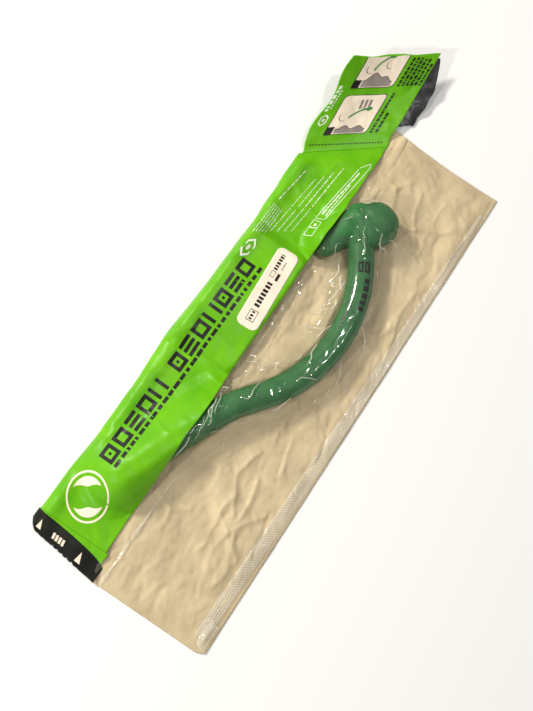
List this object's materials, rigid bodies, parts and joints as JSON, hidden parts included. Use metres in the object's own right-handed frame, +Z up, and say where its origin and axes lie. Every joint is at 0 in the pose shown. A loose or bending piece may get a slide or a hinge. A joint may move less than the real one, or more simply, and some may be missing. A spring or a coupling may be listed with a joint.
{
  "type": "packaged nasal airway",
  "caption": "Curved rubber nasal airway with a trumpet flange and a jelly sachet, sealed in a peel pouch with a tan web, clear window, printed panel, tab and folded header.",
  "frame": {"origin": "centre of the overall box on the table, z = 0 under the back web", "axes": "+X along the pouch from the tab end to the header, +Y across it from the ribbed edge to the fold, +Z up out of the back web"},
  "size_m": [0.224, 0.0726, 0.0143],
  "materials": {
    "tan_laminate": "satin",
    "clear_film": "gloss",
    "seal_film": "gloss",
    "lime_film": "satin",
    "label_paper": "matt",
    "black_film": "satin",
    "green_rubber": "satin",
    "sachet_foil": "satin",
    "jelly": "wet"
  },
  "bodies": {
    "pouch_base": {"back_web": "tan_laminate", "upper_seal_band": "seal_film", "airway_tube": "green_rubber", "airway_flange": "green_rubber", "sachet_back_foil": "sachet_foil", "lubricant_jelly": "jelly", "sachet_front_foil": "sachet_foil"},
    "front_web": {"front_film": "clear_film", "side_seal_band": "seal_film", "lower_seal_band": "seal_film", "printed_panel": "lime_film", "lot_label": "label_paper"},
    "peel_tab_body": {"peel_tab": "black_film"},
    "header": {"instruction_header": "lime_film"},
    "folded_end_body": {"folded_end": "black_film"}
  },
  "joints": [
    {"name": "front_peel", "type": "hinge", "parent": "pouch_base", "child": "front_web", "pos_m": [0.072, 0.0087, 0.0014], "axis": [-0.6564, 0.7544, 0], "range_deg": [0, 90]},
    {"name": "tab_lift", "type": "hinge", "parent": "front_web", "child": "peel_tab_body", "pos_m": [-0.10175, 0.0207, 0.0014], "axis": [0, 1, 0], "range_deg": [0, 75]},
    {"name": "header_fold", "type": "hinge", "parent": "pouch_base", "child": "header", "pos_m": [0.072, 0.0087, 0.0014], "axis": [0.6564, -0.7544, 0], "range_deg": [0, 35]},
    {"name": "end_unfold", "type": "hinge", "parent": "header", "child": "folded_end_body", "pos_m": [0.112, 0.0119, 0.00685], "axis": [0.7073, -0.6795, -0.1949], "range_deg": [0, 170]}
  ]
}
